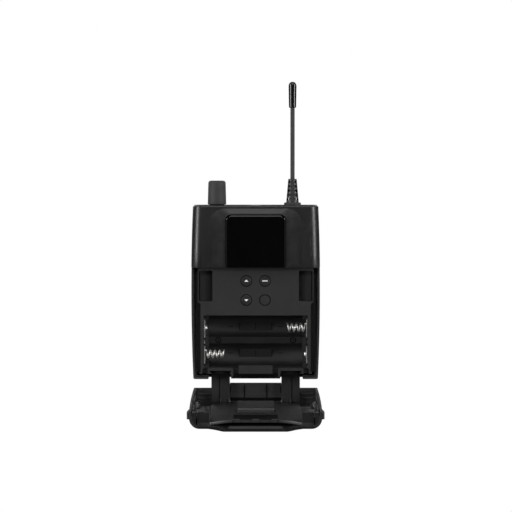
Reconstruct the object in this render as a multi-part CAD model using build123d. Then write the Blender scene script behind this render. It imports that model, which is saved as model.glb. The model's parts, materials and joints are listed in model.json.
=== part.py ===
"""Wireless bodypack with a flip-down battery door, a rotary knob, a whip antenna and a belt clip.

The pack is laid out in bench coordinates, in millimetres: X runs across the pack from its left to its
right, depth is measured from the flat front face towards the back, and Z is the height above a datum just
inside the underside. export() shifts everything so that the origin lies on the back face, where the
upper edge of a belt comes to rest under the clip's pivots. The door is drawn closed and is then swung
open about its hinge, because the pack is shown and kept with the door hanging open.
"""

import os

from build123d import *

# ---- driving dimensions -------------------------------------------------------------------------
PACK_HEIGHT = 95.2
PACK_DEPTH = 25.0
HALF_WIDTH_END = 34.65
HALF_WIDTH_MIDDLE = 35.7
BOTTOM_Z = -1.6
FRONT_EDGE_R = 5.6
BACK_EDGE_R = 4.0
RIM_R = 0.9
WALL = 2.0
LIP = 1.15
BELT_STOP_HEIGHT = 66.4

LEDGE_Z = 61.0
SEAM_DEPTH = 17.5
CASE_SCREWS = ((-28, 88), (28, 88), (-27.5, 45), (27.5, 45))
SKIRT_DEPTH = 9.5
MIDDLE_SKIRT_DEPTH = 12.4
DOOR_GAP = 0.3

HUMP_HEIGHT = 1.55
HUMP_TOP_Z = 93.8
WINDOW_HALF = 16.75
WINDOW_TOP_Z = 90.2
WINDOW_CORNER_R = 3.7
LENS_GAP = 0.15
LENS_THICKNESS = 2.25
LENS_BACK_DEPTH = 0.75
LENS_EDGE_R = 1.2
SEAT_DEPTH = 0.95

PANEL_DEPTH = 3.0
PANEL_HALF = 31.0
PANEL_THICKNESS = 1.6
PANEL_BOTTOM_Z = 2.1
GROOVE_DEPTH = 12.2

CELL_R = 7.25
CELL_LENGTH = 50.5
TROUGH_R = 7.45
TROUGH_HALF = 26.1
WELL_HALF = 28.2
WELL_REACH = 5.2
PLATE_THICKNESS = 0.3
BAY_HALF = 28.4
BAY_TOP_Z = 36.4
CELL_DEPTH = 12.9
CELL_Z = (12.15, 26.95)
RIB_DEPTH = 17.8
TRAY_SCREW = (20.9, 19.55)
SPRING_WIRE_R = 0.4
TRAY_BACK_DEPTH = 21.6

HINGE_DEPTH = 19.1
HINGE_Z = 1.5
HINGE_PIN_R = 0.75
HINGE_PIN_X = (12.2, 26.6)
HINGE_PIN_CLEARANCE = 0.05
KNUCKLE_R = 1.55
ARM_INNER = 14.45
ARM_OUTER = 24.8
ARM_SIDE_GAP = 0.03
ARM_BOTTOM_Z = -0.2
ARM_TOP_Z = 2.6
SLOT_INNER = 13.7
SLOT_OUTER = 25.4
SLOT_FLARE = 0.9
SLOT_TOP_Z = 3.7
SLOT_BACK_DEPTH = 21.9
OPEN_ANGLE = 96.0

DOOR_PANEL = 2.3
DOOR_WALL = 1.6
DOOR_RABBET = 2.7
PLATE_HALF = 24.9
PLATE_BOTTOM_Z = 11.6
ARCH_Z = 50.9
CORNER_TOP_DEPTH = 8.6
DOOR_TOP_Z = LEDGE_Z - 0.25
DOOR_SKIN = 1.3

BUTTON_X = 5.15
BUTTON_Z = (42.9, 53.5)
BUTTON_R = 2.75
BUTTON_GAP = 0.12
BUTTON_DISH_R = 3.3
BUTTON_TRAVEL = 0.4
SENSOR = (BUTTON_X, BUTTON_Z[0])
SENSOR_R = 3.1
BUTTONS = {"up": (-BUTTON_X, BUTTON_Z[1]), "down": (-BUTTON_X, BUTTON_Z[0]), "menu": (BUTTON_X, BUTTON_Z[1])}

TOP_DEPTH = 11.5
KNOB_X = -21.45
KNOB_R_BOTTOM = 5.15
KNOB_R_TOP = 4.8
KNOB_HEIGHT = 13.25
KNOB_LIFT = 0.35
ANTENNA_X = 20.45
WHIP_R = 1.2
BOOT_R_BOTTOM = 3.5
BOOT_R_TOP = 2.35
BOOT_HEIGHT = 13.1
BOOT_ROWS = 5
TIP_Z = PACK_HEIGHT + 53.9
TIP_HEIGHT = 14.4
POT_TOP_Z = 91.5
JACK_X = 0.0
JACK_BORE_R = 1.8
JACK_BORE_LENGTH = 15.0

BOARD_DEPTH = 9.2
BOARD_THICKNESS = 1.2
SWITCH_DEPTH = 6.6

CATCH_Z = (39.5, 52.0)
CATCH_TRAVEL = 0.8
CATCH_DEPTH = (3.1, 6.9)
CATCH_TIP_X = 37.2
POCKET_Z = (42.2, 59.2)
POCKET_X = (23.9, 31.5)
POCKET_RAIL_X = 32.0
POCKET_RAIL_DEPTH = 7.6
POCKET_DEPTH = 10.5

CLIP_WIRE_R = 1.0
CLIP_PIVOT_DEPTH = 28.0
CLIP_PIVOT_Z = 72.0
CLIP_HALF = 24.4
LUG_X = (17.2, 20.6)

OUT = "parts"
FAR = 200.0
SIDES = {"left": -1, "right": 1}


# ---- small helpers ------------------------------------------------------------------------------
def y_at(depth):
    """The Y coordinate of a depth behind the front face; the back face is Y = 0."""
    return depth - PACK_DEPTH


def block(x, depth, z):
    """A box between two limits on each axis."""
    centre = Pos(sum(x) / 2, y_at(sum(depth) / 2), sum(z) / 2)
    return centre * Box(abs(x[1] - x[0]), abs(depth[1] - depth[0]), abs(z[1] - z[0]))


def rod_x(radius, x, depth, z):
    return Pos(sum(x) / 2, y_at(depth), z) * Rot(0, 90, 0) * Cylinder(radius, abs(x[1] - x[0]))


def rod_y(radius, x, depth, z):
    return Pos(x, y_at(sum(depth) / 2), z) * Rot(90, 0, 0) * Cylinder(radius, abs(depth[1] - depth[0]))


def rod_z(radius, x, depth, z):
    return Pos(x, y_at(depth), sum(z) / 2) * Cylinder(radius, abs(z[1] - z[0]))


def cone_z(bottom_r, top_r, x, depth, z):
    return Pos(x, y_at(depth), sum(z) / 2) * Cone(bottom_r, top_r, abs(z[1] - z[0]))


def mirrored(side, shape):
    """A shape drawn on the right, moved to the left if side is -1."""
    return shape if side > 0 else mirror(shape, about=Plane.YZ)


def rounded_plate(half_width, z, corner_r, depth):
    """A slab with rounded corners that faces the front."""
    outline = RectangleRounded(2 * half_width, z[1] - z[0], corner_r)
    face = Plane((0, y_at(depth[0]), sum(z) / 2), x_dir=(1, 0, 0), z_dir=(0, -1, 0)) * outline
    return extrude(face, amount=depth[1] - depth[0], dir=(0, 1, 0))


def barrel(inset, depth, front_r, back_r):
    """The pack's block: flat front, back and ends, and long sides that bulge a little in the middle."""
    end, middle = HALF_WIDTH_END - inset, HALF_WIDTH_MIDDLE - inset
    low, high = BOTTOM_Z + inset, PACK_HEIGHT - inset
    half_height = (BOTTOM_Z + PACK_HEIGHT) / 2
    outline = make_face(
        [
            Line((-end, low), (end, low)),
            ThreePointArc((end, low), (middle, half_height), (end, high)),
            Line((end, high), (-end, high)),
            ThreePointArc((-end, high), (-middle, half_height), (-end, low)),
        ]
    )
    face = Pos(0, y_at(depth[0]), 0) * (Plane.XZ * outline)
    solid = extrude(face, amount=depth[1] - depth[0], dir=(0, 1, 0))
    arcs = solid.edges().filter_by(GeomType.CIRCLE).sort_by(Axis.Y)
    solid = fillet(arcs[:2], front_r)
    arcs = solid.edges().filter_by(GeomType.CIRCLE).filter_by(
        lambda edge: abs(edge.center().Y - y_at(depth[1])) < 0.01
    )
    return fillet(arcs, back_r)


def pack_block():
    solid = barrel(0, (0, PACK_DEPTH), FRONT_EDGE_R, BACK_EDGE_R)
    rims = solid.faces().sort_by(Axis.Z)
    return fillet(rims[0].edges() + rims[-1].edges(), RIM_R)


def hump(inset=0.0):
    """The raised middle of the front, which blends into the flat face through a soft S-shaped slope.

    With an inset it is the room inside that leaves a wall of that thickness.
    """
    sections = []
    steps = ((0.4, 10.6, 0.0, 9.0), (-0.15, 7.8, 0.6, 8.0), (-0.75, 4.2, 1.8, 6.0), (-1.33, 1.6, 2.9, 4.6))
    for depth, spread, drop, corner_r in (*steps, (-HUMP_HEIGHT, 0.35, 3.45, WINDOW_CORNER_R)):
        half = WINDOW_HALF + spread - inset / 2
        low, high = 2.0 + 1.6 * drop, HUMP_TOP_Z - drop
        plane = Plane((0, y_at(depth + inset), (low + high) / 2), x_dir=(1, 0, 0), z_dir=(0, -1, 0))
        sections.append(plane * RectangleRounded(2 * half, high - low, corner_r))
    return loft(sections)


def screw(head_r, head_height, shank_r, length):
    """A pan-head screw with a cross recess: its head's top at the origin, its shank along -Z."""
    body = Pos(0, 0, -head_height / 2) * Cylinder(head_r, head_height)
    body += Pos(0, 0, -head_height - length / 2) * Cylinder(shank_r, length)
    body = fillet(body.edges().sort_by(Axis.Z)[-1], head_height * 0.35)
    arm = Box(head_r * 1.3, head_r * 0.3, head_height)
    return body - arm - Rot(0, 0, 90) * arm


# ---- housing ------------------------------------------------------------------------------------
PACK = pack_block()
CAVITY_FLOOR_Z = BOTTOM_Z + WALL
LIP_CAVITY = barrel(LIP, (LIP, PACK_DEPTH + 5), FRONT_EDGE_R - LIP, 1.0)
CAVITY = barrel(WALL, (WALL, PACK_DEPTH - WALL), FRONT_EDGE_R - WALL, BACK_EDGE_R - WALL)
DOOR_CAVITY = barrel(DOOR_WALL, (DOOR_SKIN, PACK_DEPTH + 5), FRONT_EDGE_R - DOOR_WALL, 1.0)
HUMP = hump()


def make_front_housing():
    """The upper cap: display surround, upper sides and the top wall, down to the ledge above the door."""
    region = block((-FAR, FAR), (-5, SEAM_DEPTH), (LEDGE_Z, PACK_HEIGHT + 1))
    shell = (PACK + HUMP) & region
    hollow = CAVITY & block((-FAR, FAR), (0, FAR), (LEDGE_Z + 1.6, PACK_HEIGHT))
    shell -= hollow
    # behind the button panel the cap is open, so that the board and the tray reach up into it
    shell -= block((-PANEL_HALF - 0.1, PANEL_HALF + 0.1), (PANEL_DEPTH, FAR), (LEDGE_Z - 1, LEDGE_Z + 2))
    shell -= block((-FAR, FAR), (GROOVE_DEPTH, FAR), (LEDGE_Z - 1, LEDGE_Z + 2)) & CAVITY
    opening = rounded_plate(
        WINDOW_HALF + LENS_GAP, (LEDGE_Z - 12, WINDOW_TOP_Z + LENS_GAP), WINDOW_CORNER_R, (-5, 6)
    )
    shell -= opening
    # seat that the lens is bonded to
    seat_z = (LEDGE_Z + 1.6, WINDOW_TOP_Z + 1.6)
    seat = rounded_plate(WINDOW_HALF + 1.6, seat_z, WINDOW_CORNER_R, (SEAT_DEPTH, 2.2))
    seat -= rounded_plate(WINDOW_HALF - 1.4, (LEDGE_Z + 2.8, WINDOW_TOP_Z - 1.4), 2.0, (0, 4))
    shell += seat
    shell -= rod_z(3.6, KNOB_X, TOP_DEPTH, (PACK_HEIGHT - 6, PACK_HEIGHT + 2))
    shell -= rod_z(3.05, ANTENNA_X, TOP_DEPTH, (PACK_HEIGHT - 6, PACK_HEIGHT + 2))
    shell -= rod_z(3.05, JACK_X, TOP_DEPTH, (PACK_HEIGHT - 6, PACK_HEIGHT + 2))
    shell -= rod_z(4.6, JACK_X, TOP_DEPTH, (PACK_HEIGHT - 1.15, PACK_HEIGHT + 2))
    for x, z in CASE_SCREWS[:2]:
        shell += rod_y(2.2, x, (WALL - 0.5, SEAM_DEPTH), z)
        shell -= rod_y(0.8, x, (8, SEAM_DEPTH + 1), z)
    return shell


def make_rear_housing():
    """The back shell: back wall, lower sides and underside, slotted for the door's two hinge arms."""
    upper = block((-FAR, FAR), (SEAM_DEPTH, FAR), (LEDGE_Z - 0.1, PACK_HEIGHT + 1))
    lower = block((-FAR, FAR), (SKIRT_DEPTH + DOOR_GAP, FAR), (BOTTOM_Z - 1, LEDGE_Z - 0.1))
    shell = (PACK & upper) + (PACK & lower)
    shell -= CAVITY
    # the front rim is thinned on its inner side, beside the tray's grooves
    shell -= LIP_CAVITY & block((-FAR, FAR), (0, GROOVE_DEPTH), (BOTTOM_Z, LEDGE_Z - 0.1))
    shell -= LIP_CAVITY & block((-SLOT_INNER, SLOT_INNER), (0, GROOVE_DEPTH + 2.6), (BOTTOM_Z, 5))
    shell -= block((-SLOT_INNER, SLOT_INNER), (0, MIDDLE_SKIRT_DEPTH + 0.75), (BOTTOM_Z - 1, 3))
    # room for the inner edge of the door's underside to swing past
    shell -= block((-FAR, FAR), (0, SKIRT_DEPTH + 0.55), (BOTTOM_Z - 1, 1))
    for side in SIDES.values():
        shell -= mirrored(side, arm_slot(0, SLOT_BACK_DEPTH))
    # screw bosses: two for the tray, four for the housing
    for x in (-TRAY_SCREW[0], TRAY_SCREW[0]):
        shell += rod_y(1.9, x, (TRAY_BACK_DEPTH + 0.05, PACK_DEPTH - WALL + 0.5), TRAY_SCREW[1])
        shell -= rod_y(0.8, x, (TRAY_BACK_DEPTH - 1, PACK_DEPTH - 0.6), TRAY_SCREW[1])
    for x, z in CASE_SCREWS:
        shell += rod_y(2.6, x, (SEAM_DEPTH + 0.1, PACK_DEPTH - 1), z)
        shell -= rod_y(1.1, x, (SEAM_DEPTH - 1, PACK_DEPTH + 1), z)
        shell -= rod_y(2.1, x, (PACK_DEPTH - 2.4, PACK_DEPTH + 1), z)
    for side in SIDES.values():
        # ledge that a catch hooks under, and the two lugs that carry the belt clip
        shell += mirrored(side, clip_lug())
    return shell - hinge_pin_holes()


def arm_slot(front, back):
    """Room for one hinge arm; its outer side leans outwards at the mouth."""
    outline = Polyline(
        (SLOT_INNER, BOTTOM_Z - 1),
        (SLOT_OUTER + SLOT_FLARE, BOTTOM_Z - 1),
        (SLOT_OUTER + SLOT_FLARE, BOTTOM_Z + 0.4),
        (SLOT_OUTER, BOTTOM_Z + 3.2),
        (SLOT_OUTER, SLOT_TOP_Z),
        (SLOT_INNER, SLOT_TOP_Z),
        close=True,
    )
    face = Pos(0, y_at(front), 0) * (Plane.XZ * make_face(outline))
    return extrude(face, amount=back - front, dir=(0, 1, 0))


def clip_lug():
    web = Plane.YZ * make_face(
        Polyline(
            (y_at(PACK_DEPTH - 0.5), CLIP_PIVOT_Z - 5.6),
            (y_at(CLIP_PIVOT_DEPTH + 1.2), CLIP_PIVOT_Z - 2.08),
            (y_at(CLIP_PIVOT_DEPTH + 1.2), CLIP_PIVOT_Z + 2.08),
            (y_at(PACK_DEPTH - 0.5), CLIP_PIVOT_Z + 5.6),
            close=True,
        )
    )
    lug = Pos(LUG_X[0], 0, 0) * extrude(web, amount=LUG_X[1] - LUG_X[0], dir=(1, 0, 0))
    lug += rod_x(2.4, LUG_X, CLIP_PIVOT_DEPTH, CLIP_PIVOT_Z)
    return lug - rod_x(CLIP_WIRE_R + 0.05, (LUG_X[0] - 1, LUG_X[1] + 1), CLIP_PIVOT_DEPTH, CLIP_PIVOT_Z)


def hinge_pin_holes():
    holes = rod_x(HINGE_PIN_R, HINGE_PIN_X, HINGE_DEPTH, HINGE_Z)
    return holes + mirrored(-1, holes)


def make_battery_tray():
    """Inner moulding: the button panel, the two cell troughs and the pockets for the door's blocks."""
    top_z = LEDGE_Z + 1.5
    tray = block((-PANEL_HALF, PANEL_HALF), (PANEL_DEPTH, TRAY_BACK_DEPTH), (PANEL_BOTTOM_Z, top_z))
    tray = fillet(tray.edges().filter_by(Axis.Z).sort_by(Axis.Y)[:2], 0.7)
    # behind the panel there is room for the circuit board
    tray -= block((-FAR, FAR), (GROOVE_DEPTH + 1.2, FAR), (BAY_TOP_Z, FAR))
    inside = PANEL_HALF - 0.6
    tray -= block((-inside, inside), (PANEL_DEPTH + PANEL_THICKNESS, FAR), (BAY_TOP_Z, FAR))
    tray += block((-inside, inside), (GROOVE_DEPTH + 3, TRAY_BACK_DEPTH), (CAVITY_FLOOR_Z, PANEL_BOTTOM_Z))
    for side in SIDES.values():
        walls_z = (POCKET_Z[0] - 0.8, LEDGE_Z - 0.1)
        walls = block((POCKET_X[0] - 0.8, POCKET_RAIL_X), (PANEL_DEPTH, POCKET_DEPTH + 0.8), walls_z)
        tray += mirrored(side, walls)
        hollow = block(POCKET_X, (0, POCKET_DEPTH), POCKET_Z)
        hollow = fillet(hollow.edges().filter_by(Axis.Y).sort_by(Axis.X)[:2], 0.8)
        tray -= mirrored(side, hollow)
        tray -= mirrored(side, block((PANEL_HALF - 1, FAR), (POCKET_RAIL_DEPTH, POCKET_DEPTH), POCKET_Z))
        floor_z = (PANEL_BOTTOM_Z, LEDGE_Z - 0.2)
        floor = block((PANEL_HALF - 0.4, FAR), (GROOVE_DEPTH, GROOVE_DEPTH + 1.2), floor_z)
        tray += mirrored(side, floor & CAVITY)
    for x, z in CASE_SCREWS[2:]:
        tray += rod_y(2.4, x, (POCKET_DEPTH + 0.4, SEAM_DEPTH), z)
        tray -= rod_y(0.8, x, (POCKET_DEPTH + 1.6, SEAM_DEPTH + 1), z)
    tray -= battery_bay()
    # lip in the middle of the bay's lower edge, and a hood over each hinge arm
    tray += block((-9.4, 9.4), (PANEL_DEPTH - 0.2, PANEL_DEPTH + 1.6), (PANEL_BOTTOM_Z, 6.7))
    for side in SIDES.values():
        tray -= mirrored(side, block((9.4, 12.4), (2, 7), (0, 4.9)))
        tray -= mirrored(side, block((26.6, 29.4), (2, 6), (0, 4.9)))
        tray += mirrored(side, arm_hood())
        tray -= mirrored(side, arm_slot(0, FAR))
        tray -= rod_y(1.5, side * TRAY_SCREW[0], (10, RIB_DEPTH + 0.8), TRAY_SCREW[1])
        tray -= rod_y(0.9, side * TRAY_SCREW[0], (10, FAR), TRAY_SCREW[1])
    for x, z in BUTTONS.values():
        tray -= button_opening(x, z, BUTTON_R + BUTTON_GAP, BUTTON_DISH_R)
    tray -= button_opening(*SENSOR, SENSOR_R, SENSOR_R + 0.15)
    return tray - hinge_pin_holes()


def arm_hood():
    """Rounded bar above an arm's slot, with a foot beside the slot's inner edge."""
    hood = block((12.4, 26.3), (PANEL_DEPTH - 0.45, PANEL_DEPTH + 9), (SLOT_TOP_Z, 5.2))
    hood = fillet(hood.edges().filter_by(Axis.Y).group_by(Axis.Z)[-1], 0.7)
    return hood + block((12.4, SLOT_INNER), (PANEL_DEPTH - 0.45, PANEL_DEPTH + 9), (0.4, 4.5))


def button_opening(x, z, radius, dish_r):
    opening = rod_y(radius, x, (0, PANEL_DEPTH + PANEL_THICKNESS + 1), z)
    dish = Pos(x, y_at(PANEL_DEPTH + 0.24), z) * Rot(90, 0, 0) * Cone(radius, dish_r, 0.5)
    return opening + dish


def battery_bay():
    """Everything cut away for the cells and their contacts."""
    low, high = CELL_Z
    bay = block((-BAY_HALF, BAY_HALF), (0, PANEL_DEPTH + 2.4), (low - TROUGH_R, high + TROUGH_R))
    bay += block((-TROUGH_HALF, TROUGH_HALF), (0, RIB_DEPTH), (low, high))
    for z in CELL_Z:
        bay += rod_x(TROUGH_R, (-TROUGH_HALF, TROUGH_HALF), CELL_DEPTH, z)
        bay += block((-TROUGH_HALF, TROUGH_HALF), (0, CELL_DEPTH), (z - TROUGH_R, z + TROUGH_R))
        well = block((-WELL_HALF, WELL_HALF), (0, CELL_DEPTH + WELL_REACH), (z - WELL_REACH, z + WELL_REACH))
        bay += well
    for side in SIDES.values():
        bay += mirrored(side, block(*contact_slot(low - 4.9, high + 4.9)))
    return bay


def contact_slot(low_z, high_z):
    """Limits of the narrow slot behind an end wall that holds a contact plate."""
    return (WELL_HALF, WELL_HALF + PLATE_THICKNESS), (PANEL_DEPTH + 1.4, CELL_DEPTH + 4.9), (low_z, high_z)


def make_tray_screws():
    cap = screw(1.4, 0.85, 0.75, 5.2)
    head = Rot(90, 0, 0) * cap
    x, z = TRAY_SCREW
    return [Pos(side * x, y_at(RIB_DEPTH - 0.05), z) * head for side in SIDES.values()]


def make_case_screws():
    head = Rot(-90, 0, 0) * screw(1.95, 1.3, 0.75, 9.5)
    return [Pos(x, y_at(PACK_DEPTH - 1.1), z) * head for x, z in CASE_SCREWS]


def make_hinge_pins():
    pin = rod_x(HINGE_PIN_R, HINGE_PIN_X, HINGE_DEPTH, HINGE_Z)
    return [pin, mirrored(-1, pin)]


# ---- display, board and buttons -----------------------------------------------------------------
def make_display_lens():
    front = LENS_BACK_DEPTH - LENS_THICKNESS
    height = (LEDGE_Z + 0.05, WINDOW_TOP_Z)
    lens = rounded_plate(WINDOW_HALF, height, WINDOW_CORNER_R, (front, LENS_BACK_DEPTH))
    lens = fillet(lens.faces().sort_by(Axis.Y)[0].edges(), LENS_EDGE_R)
    foot = block((-FAR, FAR), (-5, FAR), (0, LEDGE_Z + 0.05 + WINDOW_CORNER_R))
    lower = block((-WINDOW_HALF, WINDOW_HALF), (front, LENS_BACK_DEPTH), (LEDGE_Z + 0.05, LEDGE_Z + 8))
    uprights = lower.edges().filter_by(Axis.Z).sort_by(Axis.Y)[:2]
    lower = fillet(uprights, LENS_EDGE_R)
    return (lens - foot) + (lower & foot)


def make_lens_gasket():
    depth = (LENS_BACK_DEPTH, SEAT_DEPTH)
    ring = rounded_plate(WINDOW_HALF - 0.2, (LEDGE_Z + 2.6, WINDOW_TOP_Z - 0.2), 3.4, depth)
    return ring - rounded_plate(WINDOW_HALF - 1.4, (LEDGE_Z + 2.9, WINDOW_TOP_Z - 1.4), 2.0, (-2, 4))


def make_lcd_module():
    module = rounded_plate(14.9, (64.2, 88.5), 1.9, (1.0, 3.6))
    module += block((-14.2, 14.2), (3.6, 4.4), (64.8, 87.8))
    glass = block((-13.4, 13.4), (0.5, 1.4), (67.5, 87.2))
    return module - glass


def make_lcd_carrier():
    frame = block((-13.6, 13.6), (4.4, BOARD_DEPTH), (65.2, 76.4))
    return frame - block((-12.2, 12.2), (4, BOARD_DEPTH + 1), (66.6, 75.0))


def make_main_board():
    board = block((-22.4, 22.4), (BOARD_DEPTH, BOARD_DEPTH + BOARD_THICKNESS), (37.4, 64))
    return board + block((-28.6, 28.6), (BOARD_DEPTH, BOARD_DEPTH + BOARD_THICKNESS), (63.2, 77.0))


def make_rf_shield():
    back = BOARD_DEPTH + BOARD_THICKNESS
    can = block((-13, 13), (back, back + 3.2), (40.5, 59))
    can = fillet(can.edges().filter_by(Axis.Y), 0.8)
    return can - block((-12.7, 12.7), (back - 1, back + 2.9), (40.8, 58.7))


def make_switch_bodies():
    bodies = []
    for x, z in BUTTONS.values():
        case = block((x - 2.6, x + 2.6), (SWITCH_DEPTH, BOARD_DEPTH), (z - 2.6, z + 2.6))
        bodies.append(case - rod_y(1.0, x, (SWITCH_DEPTH - 1, SWITCH_DEPTH + 1.6), z))
    return bodies


def make_switch_plunger(x, z):
    return rod_y(0.92, x, (SWITCH_DEPTH - 0.5, SWITCH_DEPTH + 1.0), z)


def make_button(x, z):
    cap = rod_y(BUTTON_R, x, (PANEL_DEPTH - 0.25, PANEL_DEPTH + PANEL_THICKNESS + 0.3), z)
    cap = fillet(cap.edges().sort_by(Axis.Y)[0], 0.3)
    flange = rod_y(3.5, x, (PANEL_DEPTH + PANEL_THICKNESS + 0.05, PANEL_DEPTH + PANEL_THICKNESS + 0.7), z)
    stem = rod_y(1.3, x, (PANEL_DEPTH + PANEL_THICKNESS + 0.5, SWITCH_DEPTH - 0.5), z)
    return cap + flange + stem


def make_ir_window():
    x, z = SENSOR
    disc = rod_y(SENSOR_R - 0.04, x, (PANEL_DEPTH + 0.05, PANEL_DEPTH + PANEL_THICKNESS + 0.2), z)
    return disc + rod_y(3.8, x, (PANEL_DEPTH + PANEL_THICKNESS, PANEL_DEPTH + PANEL_THICKNESS + 0.6), z)


def make_ir_sensor():
    x, z = SENSOR
    base = block((x - 2.0, x + 2.0), (BOARD_DEPTH - 1.4, BOARD_DEPTH), (z - 2.4, z + 2.4))
    dome = Pos(x, y_at(BOARD_DEPTH - 1.4), z) * Sphere(1.5)
    return base + (dome & block((x - 3, x + 3), (0, BOARD_DEPTH), (z - 3, z + 3)))


# ---- top of the pack ----------------------------------------------------------------------------
def make_volume_knob():
    base = PACK_HEIGHT + KNOB_LIFT
    knob = cone_z(KNOB_R_BOTTOM, KNOB_R_TOP, KNOB_X, TOP_DEPTH, (base, base + KNOB_HEIGHT))
    rims = knob.edges().filter_by(GeomType.CIRCLE).sort_by(Axis.Z)
    knob = fillet(rims[-1], 1.4)
    knob = fillet(knob.edges().filter_by(GeomType.CIRCLE).sort_by(Axis.Z)[0], 0.4)
    knob -= rod_z(4.25, KNOB_X, TOP_DEPTH, (base - 1, base + 2.3))
    return knob - rod_z(1.5, KNOB_X, TOP_DEPTH, (base, base + 10.5))


def make_knob_shaft():
    return rod_z(1.5, KNOB_X, TOP_DEPTH, (POT_TOP_Z - 4, PACK_HEIGHT + KNOB_LIFT + 10.5))


def make_pot_body():
    width, depth = (KNOB_X - 4.2, KNOB_X + 4.2), (TOP_DEPTH - 5.2, TOP_DEPTH + 5.2)
    body = block(width, depth, (POT_TOP_Z - 7.5, POT_TOP_Z))
    body += rod_z(3.45, KNOB_X, TOP_DEPTH, (POT_TOP_Z - 0.1, PACK_HEIGHT + 1.9))
    for step in (-2.5, 0, 2.5):
        legs = (KNOB_X + step - 0.4, KNOB_X + step + 0.4)
        body += block(legs, (TOP_DEPTH - 0.4, TOP_DEPTH + 0.2), (POT_TOP_Z - 10.5, POT_TOP_Z - 7.4))
    return body - rod_z(1.56, KNOB_X, TOP_DEPTH, (POT_TOP_Z - 4.1, PACK_HEIGHT + 5))


def make_pot_nut():
    nut = Pos(KNOB_X, y_at(TOP_DEPTH), PACK_HEIGHT) * extrude(RegularPolygon(4.0, 6), amount=1.6)
    return nut - rod_z(3.45, KNOB_X, TOP_DEPTH, (PACK_HEIGHT - 1, PACK_HEIGHT + 3))


def make_antenna_base():
    flange = rod_z(4.7, ANTENNA_X, TOP_DEPTH, (PACK_HEIGHT, PACK_HEIGHT + 1.5))
    flange = fillet(flange.edges().filter_by(GeomType.CIRCLE).sort_by(Axis.Z)[-1], 0.6)
    flange += rod_z(3.0, ANTENNA_X, TOP_DEPTH, (PACK_HEIGHT - 10, PACK_HEIGHT + 0.1))
    return flange - rod_z(WHIP_R, ANTENNA_X, TOP_DEPTH, (PACK_HEIGHT - 6, PACK_HEIGHT + 3))


def make_antenna_nut():
    low = PACK_HEIGHT - WALL - 1.8
    nut = Pos(ANTENNA_X, y_at(TOP_DEPTH), low) * extrude(RegularPolygon(4.3, 6), amount=1.8)
    return nut - rod_z(3.0, ANTENNA_X, TOP_DEPTH, (low - 1, low + 3))


def make_antenna_boot():
    """Tapered rubber sleeve, cut by rows of four windows so that it bends without kinking the whip."""
    base = PACK_HEIGHT + 1.5
    boot = cone_z(BOOT_R_BOTTOM, BOOT_R_TOP, ANTENNA_X, TOP_DEPTH, (base, base + BOOT_HEIGHT))
    boot = fillet(boot.edges().filter_by(GeomType.CIRCLE).sort_by(Axis.Z)[-1], 0.4)
    for row in range(BOOT_ROWS):
        z = base + 1.9 + row * 2.35
        for angle in (45, 135, 225, 315):
            window = Pos(2.7, 0, 0) * Box(2.6, 3.1 - 0.28 * row, 1.3)
            boot -= Pos(ANTENNA_X, y_at(TOP_DEPTH), z) * Rot(0, 0, angle) * window
    return boot - rod_z(WHIP_R, ANTENNA_X, TOP_DEPTH, (base - 1, base + BOOT_HEIGHT + 1))


def make_antenna_whip():
    return rod_z(WHIP_R, ANTENNA_X, TOP_DEPTH, (PACK_HEIGHT - 6, TIP_Z + 12))


def make_antenna_tip():
    tip = cone_z(2.0, 2.25, ANTENNA_X, TOP_DEPTH, (TIP_Z, TIP_Z + TIP_HEIGHT))
    rims = tip.edges().filter_by(GeomType.CIRCLE).sort_by(Axis.Z)
    tip = fillet(rims[-1], 1.9)
    tip = fillet(tip.edges().filter_by(GeomType.CIRCLE).sort_by(Axis.Z)[0], 0.5)
    return tip - rod_z(WHIP_R, ANTENNA_X, TOP_DEPTH, (TIP_Z - 1, TIP_Z + 12))


def make_audio_jack():
    low = PACK_HEIGHT - JACK_BORE_LENGTH
    body = rod_z(3.0, JACK_X, TOP_DEPTH, (low - 1.5, PACK_HEIGHT - 0.3))
    body += block((-4.2, 4.2), (TOP_DEPTH - 4, TOP_DEPTH + 4), (low - 1.5, low + 9.5))
    return body - rod_z(JACK_BORE_R, JACK_X, TOP_DEPTH, (low - 0.1, PACK_HEIGHT + 1))


def make_jack_nut():
    low = PACK_HEIGHT - 1.15
    ring = rod_z(4.5, JACK_X, TOP_DEPTH, (low, low + 1.1))
    ring = fillet(ring.edges().filter_by(GeomType.CIRCLE).sort_by(Axis.Z)[-1], 0.3)
    for turn in range(4):
        notch = Pos(4.3, 0, low + 1.0) * Box(1.6, 0.9, 1.0)
        ring -= Pos(JACK_X, y_at(TOP_DEPTH), 0) * Rot(0, 0, 45 + 90 * turn) * notch
    return ring - rod_z(3.0, JACK_X, TOP_DEPTH, (low - 1, low + 3))


# ---- battery contacts ---------------------------------------------------------------------------
def contact_plate(side, low_z, high_z, stud_z=None):
    plate = block(*contact_slot(low_z, high_z))
    if stud_z is not None:
        stud = rod_x(1.4, (WELL_HALF - 1.2, WELL_HALF + 0.1), CELL_DEPTH, stud_z)
        plate += fillet(stud.edges().filter_by(GeomType.CIRCLE).sort_by(Axis.X)[0], 0.6)
    return mirrored(side, plate)


def make_contact_link():
    """Left contact: joins the upper cell's stud to the lower cell's spring."""
    return contact_plate(-1, CELL_Z[0] - 4.8, CELL_Z[1] + 4.8, CELL_Z[1])


def make_contact_positive():
    return contact_plate(1, CELL_Z[0] - 4.8, CELL_Z[0] + 4.8, CELL_Z[0])


def make_contact_negative():
    return contact_plate(1, CELL_Z[1] - 4.8, CELL_Z[1] + 4.8)


def make_cell_spring(side, z):
    """Coil that stands on a contact plate and reaches towards the cell."""
    path = Helix(pitch=2.55, height=10.2, radius=2.2)
    start = Plane(origin=path @ 0, z_dir=path % 0)
    coil = sweep(start * Circle(SPRING_WIRE_R), path=path, is_frenet=True)
    coil = Pos(WELL_HALF - SPRING_WIRE_R - 0.02, y_at(CELL_DEPTH), z) * Rot(0, -90, 0) * coil
    return mirrored(side, coil)


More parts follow.
